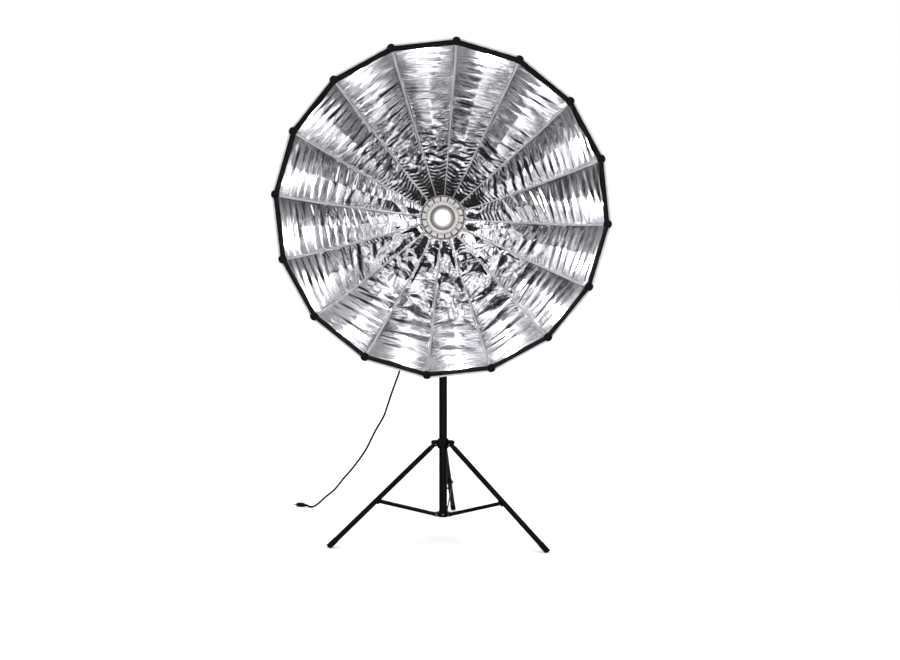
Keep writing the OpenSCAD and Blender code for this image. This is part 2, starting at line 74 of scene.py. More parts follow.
rim_r = 0.600                                           # axis to the middle of a corner cap
bowl_depth = 0.555
rib_bow = 0.090
hub_r = 0.085                                           # where a rib's arc starts
canopy_r = 0.089                                        # where the fabric starts
chord = math.hypot(rim_r - hub_r, bowl_depth)
arc_r = chord ** 2 / (8 * rib_bow) + rib_bow / 2
bow_side = np.array([bowl_depth, hub_r - rim_r]) / chord
arc_centre = np.array([(rim_r + hub_r) / 2, bowl_depth / 2]) - bow_side * (arc_r - rib_bow)
arc_start = -math.acos((canopy_r - arc_centre[0]) / arc_r)
arc_end = math.atan2(bowl_depth - arc_centre[1], rim_r - arc_centre[0])
arc_length = arc_r * (arc_end - arc_start)

LAMP_BACK = 0.350                                       # hub's face to the casing's back
CASING_R = 0.062                                        # the casing's outer radius
DIAL_X, DIAL_Y = 0.026, 0.020                           # the dial's place on the rear panel


def rib_angle(i):
    """Direction of rib i, clockwise from the top as seen from the front."""
    return rib_turn + PITCH * i


def gore_angle(i):
    """Direction of gore i's middle line."""
    return rib_turn + PITCH * (i + 0.5)


def spoke(angle, across, out, ahead):
    """Points from a rib's or gore's own frame: across it, outwards from the axis, ahead of the hub's face."""
    s, c = math.sin(angle), math.cos(angle)
    across, out, ahead = np.broadcast_arrays(across, out, ahead)
    return np.stack([hub.x + out * s + across * c, hub.y - ahead, hub.z + out * c - across * s], -1)


def on_arc(along):
    """Radius and distance ahead of the canopy's arc, that many metres along it."""
    a = arc_start + np.asarray(along) / arc_r
    return arc_centre[0] + arc_r * np.cos(a), arc_centre[1] + arc_r * np.sin(a)


# ---------- meshes ----------

def new_piece(name, points, faces, materials, slots=None, smooth=True):
    """A mesh object from points and faces. slots gives each face's material."""
    mesh = bpy.data.meshes.new(name)
    mesh.from_pydata([tuple(map(float, p)) for p in np.asarray(points).reshape(-1, 3)], [], faces)
    for m in materials if isinstance(materials, (list, tuple)) else [materials]:
        mesh.materials.append(m)
    if slots is not None:
        mesh.polygons.foreach_set("material_index", slots)
    mesh.polygons.foreach_set("use_smooth", [smooth] * len(faces))
    mesh.validate()
    piece = bpy.data.objects.new(name, mesh)
    bpy.context.scene.collection.objects.link(piece)
    return piece


def grid(rows, cols, first=0, flip=False, wrap=False):
    """Quads of a grid of points. wrap joins its last column to its first."""
    faces = []
    for i in range(rows - 1):
        for j in range(cols if wrap else cols - 1):
            k = (j + 1) % cols
            quad = [i * cols + j, i * cols + k, (i + 1) * cols + k, (i + 1) * cols + j]
            faces.append([first + v for v in (reversed(quad) if flip else quad)])
    return faces


def loft(name, rings, materials, looped=False, smooth=True):
    """A closed piece through rings of points of the same length, with flat ends or looped onto itself."""
    rings = np.asarray(rings)
    rows, cols = rings.shape[:2]
    faces = grid(rows, cols, wrap=True)
    if looped:
        last = (rows - 1) * cols
        faces += [[last + j, last + (j + 1) % cols, (j + 1) % cols, j] for j in range(cols)]
    else:
        faces.append(list(reversed(range(cols))))
        faces.append([(rows - 1) * cols + j for j in range(cols)])
    return new_piece(name, rings, faces, materials, smooth=smooth)


def tube_rings(path, radius, sides, up):
    """Rings of points round a path, square to it."""
    path = np.asarray(path, float)
    way = np.gradient(path, axis=0)
    way /= np.linalg.norm(way, axis=1)[:, None]
    u = np.cross(way, np.asarray(up, float))
    u /= np.linalg.norm(u, axis=1)[:, None]
    v = np.cross(u, way)
    a = np.arange(sides) * math.tau / sides
    radius = np.broadcast_to(radius, len(path))
    return (path[:, None] + radius[:, None, None] *
            (np.cos(a)[None, :, None] * u[:, None] + np.sin(a)[None, :, None] * v[:, None]))


def turned(name, profile, centre, axis, materials, steps):
    """A piece turned round an axis from a profile of (radius, distance along the axis)."""
    axis = Vector(axis).normalized()
    u = axis.orthogonal().normalized()
    v = axis.cross(u)
    a = [math.tau * k / steps for k in range(steps)]
    rings = [[Vector(centre) + axis * z + (u * math.cos(b) + v * math.sin(b)) * r for b in a]
             for r, z in profile]
    return loft(name, rings, materials)


def joined(name, pieces):
    """Several new pieces as one object, which keeps the first one's materials."""
    points, faces, first = [], [], 0
    for p in pieces:
        points += [v.co.copy() for v in p.data.vertices]
        faces += [[first + v for v in f.vertices] for f in p.data.polygons]
        first += len(p.data.vertices)
    material = pieces[0].data.materials[0]
    smooth = pieces[0].data.polygons[0].use_smooth
    for p in pieces:
        bpy.data.objects.remove(p)
    return new_piece(name, points, faces, material, smooth=smooth)


def soften(piece, width):
    """Rounds a piece's sharp edges with a modifier."""
    bevel = piece.modifiers.new("edges", "BEVEL")
    bevel.width = width
    bevel.segments = 2
    bevel.limit_method = "ANGLE"
    bevel.angle_limit = math.radians(40)
    return piece


def noise(x, y, seed):
    """Smooth gradient noise, from about -0.7 to 0.7, at places x and y in cells."""
    x, y = np.broadcast_arrays(np.asarray(x, float), np.asarray(y, float))
    xi, yi = np.floor(x).astype(np.int64), np.floor(y).astype(np.int64)
    xf, yf = x - xi, y - yi

    def corner(i, j):
        n = (xi + i) * 374761393 + (yi + j) * 668265263 + seed * 362437
        n = (n ^ (n >> 13)) * 1274126177 & 0xFFFFFFFF
        a = (n >> 8 & 0xFFFF) / 65536 * math.tau
        return np.cos(a) * (xf - i) + np.sin(a) * (yf - j)

    fx = xf ** 3 * (xf * (xf * 6 - 15) + 10)
    fy = yf ** 3 * (yf * (yf * 6 - 15) + 10)
    low = corner(0, 0) * (1 - fx) + corner(1, 0) * fx
    high = corner(0, 1) * (1 - fx) + corner(1, 1) * fx
    return low * (1 - fy) + high * fy


def ridges(x, y, seed):
    """Noise with sharp crests, from 0 to 1."""
    return 1 - np.minimum(1, np.abs(noise(x, y, seed)) * 2.6)


# ---------- materials ----------

def shader(name):
    """A material with its principled shader, and short ways to add and link nodes."""
    m = bpy.data.materials.new(name)
    m.use_nodes = True
    return m, m.node_tree, m.node_tree.nodes["Principled BSDF"]


def add(tree, kind, **inputs):
    """A node with some of its sockets set or linked."""
    node = tree.nodes.new(kind)
    for key, value in inputs.items():
        socket = node.inputs[int(key[1:])] if key[0] == "i" and key[1:].isdigit() else node.inputs[key]
        if isinstance(value, bpy.types.NodeSocket):
            tree.links.new(value, socket)
        else:
            socket.default_value = value
    return node


def place(tree, scale=(1, 1, 1)):
    """The piece's own coordinates in metres, times scale."""
    coords = tree.nodes.new("ShaderNodeTexCoord")
    mapping = add(tree, "ShaderNodeMapping", Vector=coords.outputs["Object"])
    mapping.inputs["Scale"].default_value = scale
    return mapping.outputs["Vector"]


def cloud(tree, vector, scale, detail=4.0, roughness=0.55):
    """Procedural noise, from 0 to 1."""
    return add(tree, "ShaderNodeTexNoise", Vector=vector, Scale=scale, Detail=detail,
               Roughness=roughness).outputs["Fac"]


def ramp(tree, factor, stops):
    """A colour ramp from (position, colour) stops."""
    node = add(tree, "ShaderNodeValToRGB", Fac=factor)
    band = node.color_ramp
    for k, (position, colour) in enumerate(stops):
        stop = band.elements[k] if k < 2 else band.elements.new(position)
        stop.position = position
        stop.color = (*colour, 1) if hasattr(colour, "__len__") else (colour, colour, colour, 1)
    return node.outputs["Color"]


def spread(tree, value, low, high, from_low=0.0, from_high=1.0, easing="LINEAR"):
    """A value mapped from one range to another."""
    node = add(tree, "ShaderNodeMapRange", Value=value)
    node.interpolation_type = easing
    for key, limit in zip(("From Min", "From Max", "To Min", "To Max"), (from_low, from_high, low, high)):
        node.inputs[key].default_value = limit
    return node.outputs["Result"]


def maths(tree, operation, *values):
    """A maths node's result, from sockets and numbers."""
    node = tree.nodes.new("ShaderNodeMath")
    node.operation = operation
    for socket, value in zip(node.inputs, values):
        if isinstance(value, bpy.types.NodeSocket):
            tree.links.new(value, socket)
        else:
            socket.default_value = value
    return node.outputs[0]


def bump(tree, bsdf, height, strength, distance):
    """Adds fine relief to a shader."""
    node = add(tree, "ShaderNodeBump", Height=height, Strength=strength, Distance=distance)
    tree.links.new(node.outputs["Normal"], bsdf.inputs["Normal"])


def grained(name, dark, light, rough, metallic=0.0, grain=900.0, depth=0.0002, gloss=0.5, stretch=(1, 1, 1)):
    """Moulded or coated surface: fine grain, mottled roughness and a slight unevenness of colour."""
    m, tree, bsdf = shader(name)
    where = place(tree, stretch)
    broad = cloud(tree, where, 14.0)
    fine = cloud(tree, where, grain, 3.0)
    tree.links.new(ramp(tree, broad, [(0.3, dark), (0.72, light)]), bsdf.inputs["Base Color"])
    both = maths(tree, "ADD", maths(tree, "MULTIPLY", broad, 0.5), maths(tree, "MULTIPLY", fine, 0.5))
    tree.links.new(spread(tree, both, rough - 0.08, rough + 0.1, 0.3, 0.7), bsdf.inputs["Roughness"])
    bump(tree, bsdf, fine, 0.35, depth)
    bsdf.inputs["Metallic"].default_value = metallic
    bsdf.inputs["Specular IOR Level"].default_value = gloss
    return m


def woven(name, dark, light, rough, pitch, sheen=0.0, metallic=0.0, gloss=0.3, depth=0.0003):
    """Cloth or webbing with crossed threads."""
    m, tree, bsdf = shader(name)
    where = place(tree)
    waves = []
    for direction in ("X", "Y", "Z"):
        wave = add(tree, "ShaderNodeTexWave", Vector=where, Scale=math.tau / pitch / 20, Distortion=0.6)
        wave.bands_direction = direction
        waves.append(wave.outputs["Fac"])
    threads = maths(tree, "MULTIPLY", maths(tree, "ADD", waves[0], waves[2]),
                    maths(tree, "ADD", waves[1], 0.4))
    broad = cloud(tree, where, 9.0)
    fleck = cloud(tree, where, 420.0, 2.0)
    tone = maths(tree, "ADD", maths(tree, "MULTIPLY", threads, 0.25), maths(tree, "MULTIPLY", broad, 0.6))
    tree.links.new(ramp(tree, tone, [(0.25, dark), (0.75, light)]), bsdf.inputs["Base Color"])
    tree.links.new(spread(tree, fleck, rough - 0.07, rough + 0.07, 0.3, 0.7), bsdf.inputs["Roughness"])
    bump(tree, bsdf, maths(tree, "ADD", threads, fleck), 0.5, depth)
    bsdf.inputs["Sheen Weight"].default_value = sheen
    bsdf.inputs["Specular IOR Level"].default_value = gloss
    bsdf.inputs["Metallic"].default_value = metallic
    return m


def silver_lining():
    """Metallised film on cloth: bright, with a fine crinkle, faint weave and slightly duller patches."""
    m, tree, bsdf = shader("silver_lining")
    where = place(tree)
    patches = cloud(tree, where, 7.0, 5.0)
    crinkle = cloud(tree, where, 60.0, 7.0, 0.62)
    fine = cloud(tree, where, 420.0, 3.0)
    threads = add(tree, "ShaderNodeTexWave", Vector=where, Scale=110.0, Distortion=1.5)
    threads.bands_direction = "Z"
    tree.links.new(ramp(tree, patches, [(0.3, (0.64, 0.64, 0.67)), (0.7, (0.85, 0.85, 0.87))]),
                   bsdf.inputs["Base Color"])
    tree.links.new(spread(tree, crinkle, 0.09, 0.17, 0.3, 0.7), bsdf.inputs["Roughness"])
    height = maths(tree, "ADD", crinkle,
                   maths(tree, "MULTIPLY", maths(tree, "ADD", fine, threads.outputs["Fac"]), 0.08))
    bump(tree, bsdf, height, 0.3, 0.0006)
    bsdf.inputs["Metallic"].default_value = 1.0
    return m


def distance_from(tree, coords, centre, axes):
    """Distance of coordinates from a centre, counted along the given axes only."""
    gap = add(tree, "ShaderNodeVectorMath", i0=coords, i1=tuple(centre))
    gap.operation = "SUBTRACT"
    flat = add(tree, "ShaderNodeVectorMath", i0=gap.outputs["Vector"], i1=axes)
    flat.operation = "MULTIPLY"
    size = add(tree, "ShaderNodeVectorMath", i0=flat.outputs["Vector"])
    size.operation = "LENGTH"
    return size.outputs["Value"]


def split_by_distance(name, centre, axis_only, radius, inside, outside):
    """Two finishes on one piece: inside and outside a radius, round an axis along Y or round a point."""
    m = bpy.data.materials.new(name)
    m.use_nodes = True
    tree = m.node_tree
    tree.nodes.remove(tree.nodes["Principled BSDF"])
    parts = []
    for dark, light, rough, gloss, grain in (inside, outside):
        bsdf = tree.nodes.new("ShaderNodeBsdfPrincipled")
        where = place(tree)
        broad, fine = cloud(tree, where, 14.0), cloud(tree, where, grain, 3.0)
        tree.links.new(ramp(tree, broad, [(0.3, dark), (0.72, light)]), bsdf.inputs["Base Color"])
        tree.links.new(spread(tree, fine, rough - 0.08, rough + 0.1, 0.3, 0.7), bsdf.inputs["Roughness"])
        bump(tree, bsdf, fine, 0.3, 0.0002)
        bsdf.inputs["Specular IOR Level"].default_value = gloss
        parts.append(bsdf.outputs["BSDF"])
    coords = tree.nodes.new("ShaderNodeTexCoord").outputs["Object"]
    beyond = maths(tree, "GREATER_THAN", distance_from(tree, coords, centre, axis_only), radius)
    both = add(tree, "ShaderNodeMixShader", Fac=beyond, i1=parts[0], i2=parts[1])
    tree.links.new(both.outputs["Shader"], tree.nodes["Material Output"].inputs["Surface"])
    return m


def frosted_dome():
    """White diffuser dome, brightest in the middle where the emitter shows through; its base colour greys
    towards the rim as painted shade.
    """
    m, tree, bsdf = shader("frosted_dome")
    coords = tree.nodes.new("ShaderNodeTexCoord").outputs["Object"]
    reach = distance_from(tree, coords, hub, (1.0, 0.0, 1.0))
    # Base colour from pale in the middle to grey at the rim: painted shade.
    tree.links.new(ramp(tree, spread(tree, reach, 0.0, 1.0, 0.0, 0.05),
                        [(0.45, 0.9), (0.74, (0.66, 0.65, 0.66)), (0.94, (0.36, 0.35, 0.35))]),
                   bsdf.inputs["Base Color"])
    tree.links.new(spread(tree, reach, 1.5, 0.0, 0.016, 0.036), bsdf.inputs["Emission Strength"])
    bsdf.inputs["Emission Color"].default_value = (1.0, 0.98, 0.95, 1)
    fine = cloud(tree, coords, 700.0, 3.0)
    tree.links.new(spread(tree, fine, 0.3, 0.45, 0.3, 0.7), bsdf.inputs["Roughness"])
    bump(tree, bsdf, fine, 0.2, 0.0002)
    return m


silver = silver_lining()
outer_cloth = woven("outer_cloth", 0.002, 0.005, 0.72, 0.0011, sheen=0.02, gloss=0.06)
lip_cloth = woven("lip_webbing", 0.0012, 0.0035, 0.7, 0.0018, gloss=0.03)
piping_cloth = woven("piping", 0.42, 0.56, 0.6, 0.0012)
welt_cloth = woven("seam_tape", 0.48, 0.86, 0.4, 0.0034, metallic=0.75, depth=0.0006)
thread = grained("thread", 0.62, 0.8, 0.6, grain=1500.0)
black_nylon = grained("black_nylon", 0.0018, 0.0045, 0.48, grain=1100.0, gloss=0.12)
black_tube = grained("black_anodised", 0.0018, 0.0045, 0.36, grain=260.0, gloss=0.16, stretch=(1, 1, 0.06))
powder_coat = grained("powder_coat", 0.003, 0.007, 0.46, grain=1400.0, depth=0.0004, gloss=0.2)
zinc = grained("zinc_plate", 0.36, 0.5, 0.32, metallic=1.0, grain=500.0)
cord_rubber = grained("cord_rubber", 0.0018, 0.0045, 0.6, grain=1300.0, gloss=0.08)
foot_rubber = grained("foot_rubber", 0.003, 0.006, 0.78, grain=800.0, gloss=0.08)
pale_nylon = grained("pale_nylon", (0.74, 0.71, 0.69), (0.88, 0.85, 0.83), 0.48, grain=800.0)
glossy_black = grained("display_glass", 0.004, 0.008, 0.12, grain=300.0, depth=0.00002)
white_print = grained("white_marks", 0.6, 0.75, 0.5, grain=900.0)


# ---------- camera ----------

def make_camera():
    """The camera in front of the reflector, a little below its axis."""
    data = bpy.data.cameras.new("camera")
    data.lens = 43.6
    data.sensor_width = 36.0
    camera = bpy.data.objects.new("camera", data)
    camera.location = (0.03, mast.y - 4.70, 1.13)
    camera.rotation_euler = (math.radians(90 - 2.87), 0, 0)
    bpy.context.scene.collection.objects.link(camera)
    bpy.context.scene.camera = camera


make_camera()

# ---------- mains lead ----------

CORD_D = 0.009
LEAD_ENDS = 5                                           # the route's point where the lead's top stretch ends
ROUTE_TOP = 1.331                                       # height of the route's first point as listed
GLAND_DROP = 0.034                                      # tilt axis down to the cable gland
route = np.array([
    [-0.028, 0.145, 1.331], [-0.028, 0.165, 1.331], [-0.030, 0.185, 1.323], [-0.036, 0.200, 1.298],
    [-0.045, 0.210, 1.252], [-0.059, 0.218, 1.190], [-0.080, 0.230, 1.100], [-0.108, 0.246, 1.000],
    [-0.140, 0.264, 0.890], [-0.173, 0.282, 0.784], [-0.205, 0.299, 0.682], [-0.240, 0.320, 0.586],
    [-0.260, 0.332, 0.526], [-0.280, 0.344, 0.472], [-0.320, 0.367, 0.402], [-0.368, 0.395, 0.308],
    [-0.428, 0.430, 0.222], [-0.475, 0.458, 0.166], [-0.522, 0.486, 0.106], [-0.575, 0.517, 0.058],
    [-0.603, 0.533, 0.030], [-0.628, 0.547, 0.011], [-0.648, 0.558, 0.005], [-0.668, 0.570, 0.009],
]) + np.array(mast)
route[:, 2] *= (tilt.z - GLAND_DROP) / ROUTE_TOP        # the gland's height sets the lead's


def smooth_path(points, first, last, steps):
    """A smooth curve through points first to last, which uses their neighbours beyond them."""
    path = []
    for i in range(first, last):
        a, b, c, d = (points[max(0, min(len(points) - 1, i + k))] for k in (-1, 0, 1, 2))
        for t in np.arange(steps) / steps:
            path.append(0.5 * (2 * b + (c - a) * t + (2 * a - 5 * b + 4 * c - d) * t ** 2
                               + (3 * b - 3 * c + d - a) * t ** 3))
    return np.array(path + [points[last]])


def make_lead():
    """The lead in two stretches: the top one by the lamp, and the rest, which hangs to the floor."""
    pieces = []
    for name, first, last in (("lead_top", 0, LEAD_ENDS), ("lead", LEAD_ENDS, len(route) - 1)):
        path = smooth_path(route, first, last, 10)
        path[:, 2] = np.maximum(path[:, 2], CORD_D / 2 + 0.0002)
        piece = loft(name, tube_rings(path, CORD_D / 2, 12, (1.0, 0.3, 0.0)), cord_rubber)
        length = float(np.linalg.norm(np.diff(path, axis=0), axis=1).sum())
        pieces.append((piece, path, length))
    top, top_path, top_length = pieces[0]
    main, main_path, main_length = pieces[1]
    plug = make_plug()
    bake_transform(top)
    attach(main, "yoke")
    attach(plug, "yoke")
    for piece in (main, plug):
        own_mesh(piece)
    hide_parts("cord")


def make_plug():
    """A plain two-pin plug with a ribbed strain relief, lying where its CAD solid lies."""
    end = route[-1]
    turn = math.radians(150)
    ahead = np.array([math.cos(turn), math.sin(turn), 0])
    side = np.array([-math.sin(turn), math.cos(turn), 0])
    outline = [(0.0, 0.005, 0.005), (0.003, 0.0056, 0.0056)]
    for k in range(5):
        z = 0.004 + 0.003 * k
        outline += [(z, 0.0056 + 0.0003 * k, 0.0056 + 0.0003 * k),
                    (z + 0.0014, 0.0052 + 0.0003 * k, 0.0052 + 0.0003 * k)]
    outline += [(0.0205, 0.0088, 0.0068), (0.0225, 0.0135, 0.0082), (0.028, 0.0168, 0.0088),
                (0.040, 0.0178, 0.0088), (0.050, 0.0176, 0.0086), (0.0530, 0.0172, 0.0082),
                (0.0540, 0.016, 0.0072)]
    a = np.arange(40) * math.tau / 40
    rings = []
    for z, wide, high in outline:
        c, s = np.cos(a), np.sin(a)
        soft = (np.abs(c) ** 2.8 + np.abs(s) ** 2.8) ** (-1 / 2.8)
        ring = end + ahead * z + (side[None] * (wide * c * soft)[:, None]
                                  + np.array([0, 0, 1.0])[None] * (high * s * soft)[:, None])
        ring[:, 2] = np.maximum(ring[:, 2], 0.0003)
        rings.append(ring)
    body = loft("mains_plug_body", rings, cord_rubber)
    pins = []
    for k in (-1, 1):
        foot = end + ahead * 0.0535 + side * 0.0095 * k
        profile = [(0.0024, 0), (0.0024, 0.017), (0.0020, 0.0185), (0.0008, 0.0192)]
        pins.append(turned(f"pin_{k}", profile, foot, ahead, zinc, 20))
    pin_piece = joined("mains_plug_pins", pins)
    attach(pin_piece, "yoke")
    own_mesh(pin_piece)
    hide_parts("mains_plug")
    return body


make_lead()

# ---------- canopy ----------

ROWS = 270                        # points along a gore
COLS = 41                         # points across it
FILM = 0.0006                                           # lining above the panel's inner face
CLOTH = 0.0012                                          # cloth below it
LIP = 0.033                                             # width of the black lip inside the rim
LOWEST, HIGHEST = -0.007, 0.009                         # how far folds leave the flat panel


def seam_puckers(along, edge, side, seed):
    """Short pinches that the stitching pulls into both sides of a seam."""
    beat = along + 0.35 * edge + 0.006 * noise(along / 0.05, side * 3.1, seed)
    strength = 0.6 + 1.1 * noise(along / 0.07, side * 5.7, seed + 1)
    reach = 0.012 + 0.012 * (0.5 + noise(along / 0.04, side * 2.3, seed + 2))
    return 0.0009 * strength * np.exp(-edge / reach) * (2 * np.abs(np.sin(math.pi * beat / 0.017)) - 1)


def tapered_folds(along, u, pitch, lean, seed, middle):
    """Film pulled between two seams: facets with their base on one and their point on the other, by turns.

    Heights run from -1 to 1. middle is the share of the height that is left halfway between the seams.
    """
    v = (u + 1) / 2
    shifted = along - lean * v + 0.35 * pitch * noise(along / (2.6 * pitch), 0.6 * v, seed)
    beat = shifted / pitch - 0.5 * v
    down = np.clip(1 - v, 0.12, 0.88)
    phase = beat - np.floor(beat)
    saw = np.where(phase < down, 1 - 2 * phase / down, 2 * (phase - down) / (1 - down) - 1)
    saw = np.sin(0.5 * math.pi * saw)
    strength = np.clip(0.75 + 1.3 * noise(beat / 1.7, 1.1 * v, seed + 1), 0.1, 1.5)
    near_seam = np.abs(2 * v - 1)
    hold = np.clip(4 * v * (1 - v), 0, 1) ** 0.5 * (middle + (1 - middle) * near_seam ** 1.5)
    return saw * strength * hold


def facets(x, y, seed):
    """Crumpled film: flat facets between sharp creases, heights from about -1 to 1."""
    total = 0.0
    for k in range(3):
        turn = 1.7 * seed + 2.1 * k
        way = x * math.cos(turn) + y * math.sin(turn) + 0.9 * noise(0.7 * x + 3.1 * k, 0.7 * y, seed + 5 * k)
        total = total + 2 * np.abs(2 * (way - np.floor(way)) - 1) - 1
    return total / 3


def patches(along, v, size, seed):
    """Places from 0 to 1 where a set of folds shows, with soft edges."""
    return np.clip(0.5 + 2.2 * noise(along / size, 1.4 * v, seed), 0, 1)


def lining_height(i, along, across, half):
    """Height of gore i's lining above its flat panel, towards the inside of the bowl."""
    angle = gore_angle(i)
    seed = 40 * i + 7
    u = across / half
    edge = np.maximum(0, half - np.abs(across))
    side = np.sign(across)
    top = max(0.0, math.cos(angle))
    lower = max(0.0, -math.cos(angle))
    sideways = abs(math.sin(angle))
    rimward = np.clip((along - 0.12) / 0.22, 0, 1)
    lean = 0.060 * math.sin(2.3 * i + 0.6) + 0.06 * noise(along / 0.3, 0.5, seed + 20)
    height = 0.004 * (edge / np.maximum(half, 0.02)) * np.sin(math.pi * along / arc_length)
    height = height + seam_puckers(along, edge, side, seed)
    broad = 0.0005 + 0.0027 * sideways * (1 - 0.3 * lower)
    height += broad * rimward * (0.35 + 0.65 * patches(along, u, 0.16, seed + 30)) * tapered_folds(
        along, u, 0.045, lean, seed + 21, 0.9)
    deep = lower * (0.3 + 0.9 * sideways) * np.exp(-((along - 0.40) / 0.17) ** 2)
    height += 0.0044 * deep * tapered_folds(along, u, 0.082, 0.7 * lean, seed + 40, 0.8)
    height += (0.0004 + 0.0006 * top) * rimward * patches(along, u, 0.09, seed + 31) * tapered_folds(
        along, u, 0.019, 0.5 * lean, seed + 24, 0.25)
    height += 0.00035 * patches(along, u, 0.06, seed + 32) * tapered_folds(
        along, u, 0.012, -0.4 * lean, seed + 27, 0.2)
    drift = 0.5 * noise(along / 0.12, across / 0.12, seed + 10)
    band = np.exp(-((along - 0.20) / 0.10) ** 2) * (0.25 + 0.75 * top)
    height += 0.0016 * band * (ridges(along / 0.034 + 0.5 * drift, 0.9 * u, seed + 34) - 0.4)
    height += 0.0034 * rimward * noise(along / 0.085 + drift, across / 0.13, seed + 11)
    rough = lower * np.exp(-((along - 0.20) / 0.14) ** 2) + 1.1 * (1 - top) * np.exp(-along / 0.13)
    height += 0.0085 * rough * facets(along / 0.150 + drift, across / 0.120 - drift, seed + 13)
    height += 0.0010 * rough * facets(along / 0.050, across / 0.045 + drift, seed + 14)
    pinned = ((1 - np.exp(-edge / 0.003)) * (1 - np.exp(-along / 0.008))
              * (1 - np.exp(-(arc_length - along) / 0.02)))
    return np.clip(height, LOWEST, HIGHEST) * pinned


def panel(i, along, across, height):
    """Points on gore i's panel: metres along the arc, across it, and above it into the bowl."""
    a = arc_start + along / arc_r
    out = (arc_centre[0] + arc_r * np.cos(a)) * math.cos(HALF) - height * np.cos(a)
    ahead = arc_centre[1] + arc_r * np.sin(a) - height * np.sin(a)
    return spoke(gore_angle(i), across, out, ahead)


def half_width(along):
    """Half a gore's width at places along it, less the gap to its neighbour."""
    return on_arc(along)[0] * math.sin(HALF) - 0.0006


def sheet_between(name, i, along, across, upper, lower, upper_material, lower_material):
    """A closed thin sheet on gore i between two heights over the same grid."""
    rows, cols = along.shape
    top, bottom = panel(i, along, across, upper), panel(i, along, across, lower)
    count = rows * cols
    faces = grid(rows, cols)
    slots = [0] * len(faces)
    faces += grid(rows, cols, first=count, flip=True)
    border = ([(0, j) for j in range(cols)] + [(r, cols - 1) for r in range(1, rows)]
              + [(rows - 1, j) for j in range(cols - 2, -1, -1)] + [(r, 0) for r in range(rows - 2, 0, -1)])
    ring = [r * cols + j for r, j in border]
    for a, b in zip(ring, ring[1:] + ring[:1]):
        faces.append([b, a, a + count, b + count])
    slots += [1] * (len(faces) - len(slots))
    points = np.concatenate([top.reshape(-1, 3), bottom.reshape(-1, 3)])
    return new_piece(name, points, faces, [upper_material, lower_material], slots)


def fold_with_gore(piece, i):
    """Rides on gore i."""
    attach(piece, f"gore_{i + 1:02d}")
    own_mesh(piece)


def make_gore(i):
    """Silver lining and black cloth of one panel, with the lip and the piping at its rim."""
    along, u = np.meshgrid(np.linspace(0, arc_length, ROWS), np.linspace(-1, 1, COLS), indexing="ij")
    across = u * half_width(along)
    rise = lining_height(i, along, across, half_width(along))
    back = np.clip(rise, -0.003, 0.003) * 0.5 - CLOTH
    gore = sheet_between(f"canopy_{i + 1:02d}", i, along, across, rise + FILM,
                         np.minimum(back, rise - 0.0006), silver, outer_cloth)
    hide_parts(f"gore_{i + 1:02d}")
    start = np.linspace(arc_length - LIP, arc_length + 0.0008, 12)
    along, u = np.meshgrid(start, np.linspace(-1, 1, COLS), indexing="ij")
    across = u * half_width(along)
    under = lining_height(i, np.minimum(along, arc_length), across, half_width(along))
    ripple = 0.0004 * noise(across / 0.02, along / 0.02, 900 + i)
    lip = sheet_between(f"lip_{i + 1:02d}", i, along, across, under + 0.0022 + ripple, under + 0.0008,
                        lip_cloth, lip_cloth)
    rim = np.linspace(-half_width(arc_length), half_width(arc_length), 40)
    path = panel(i, np.full(40, arc_length - 0.0005), rim, np.full(40, -0.0048) + 0.0003 * np.sin(rim * 900))
    piping = loft(f"piping_{i + 1:02d}", tube_rings(path, 0.0034, 10, (0, 1, 0)), piping_cloth)
    for piece in (lip, piping, gore):
        fold_with_gore(piece, i)


def along_rib(i, along, across, height):
    """Points in rib i's plane: metres along the arc, across the seam, and above it into the bowl."""
    a = arc_start + along / arc_r
    out = arc_centre[0] + (arc_r - height) * np.cos(a)
    ahead = arc_centre[1] + (arc_r - height) * np.sin(a)
    return spoke(rib_angle(i), across, out, ahead)


def make_welt(i):
    """The taped seam over rib i: a puckered strip, with its zigzag thread."""
    along = np.linspace(0.004, arc_length - LIP + 0.004, 170)
    half = 0.0014 + 0.0023 * np.clip((along - 0.10) / 0.35, 0, 1)
    pucker = 0.0005 * np.abs(np.sin(math.pi * along / 0.0165 + i))
    rings = []
    for share, lift in ((-1, 0.0008), (-0.8, 0.0022), (-0.3, 0.0029), (0.3, 0.0029),
                        (0.8, 0.0022), (1, 0.0008), (0.7, 0.0002), (-0.7, 0.0002)):
        wave = pucker * (1 if share > 0 else -1) * abs(share)
        rings.append(along_rib(i, along, share * half + wave, lift + 0.3 * pucker))
    welt = loft(f"seam_{i + 1:02d}", np.stack(rings, 1), welt_cloth)
    steps = np.arange(0.20, arc_length - LIP - 0.004, 0.0034)
    zigzag = 0.0021 * np.where(np.arange(len(steps)) % 2, 1, -1)
    path = along_rib(i, steps, zigzag, 0.0033)
    stitches = loft(f"stitches_{i + 1:02d}", tube_rings(path, 0.00045, 5, (0.1, 0.9, 0.2)), thread)
    for piece in (welt, stitches):
        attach(piece, f"rib_{i + 1:02d}")


def make_sleeve(i):
    """The black pocket that holds rib i against the outside of the canopy."""
    along = np.linspace(0.012, arc_length - 0.004, 120)
    swell = 0.0004 * noise(along / 0.02, i * 3.3, 501)
    outline = [(-0.017, -0.0006), (-0.0105, 0.0006), (-0.0055, 0.0048), (-0.0025, 0.0082), (0.0, 0.0088),
               (0.0025, 0.0082), (0.0055, 0.0048), (0.0105, 0.0006), (0.017, -0.0006)]
    under = [(x, z - 0.0008) for x, z in reversed(outline)]
    rings = [along_rib(i, along, np.full(120, x), -(z + swell)) for x, z in outline + under]
    sleeve = loft(f"rib_sleeve_{i + 1:02d}", np.stack(rings, 1)[:, ::-1], outer_cloth)
    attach(sleeve, f"rib_{i + 1:02d}")


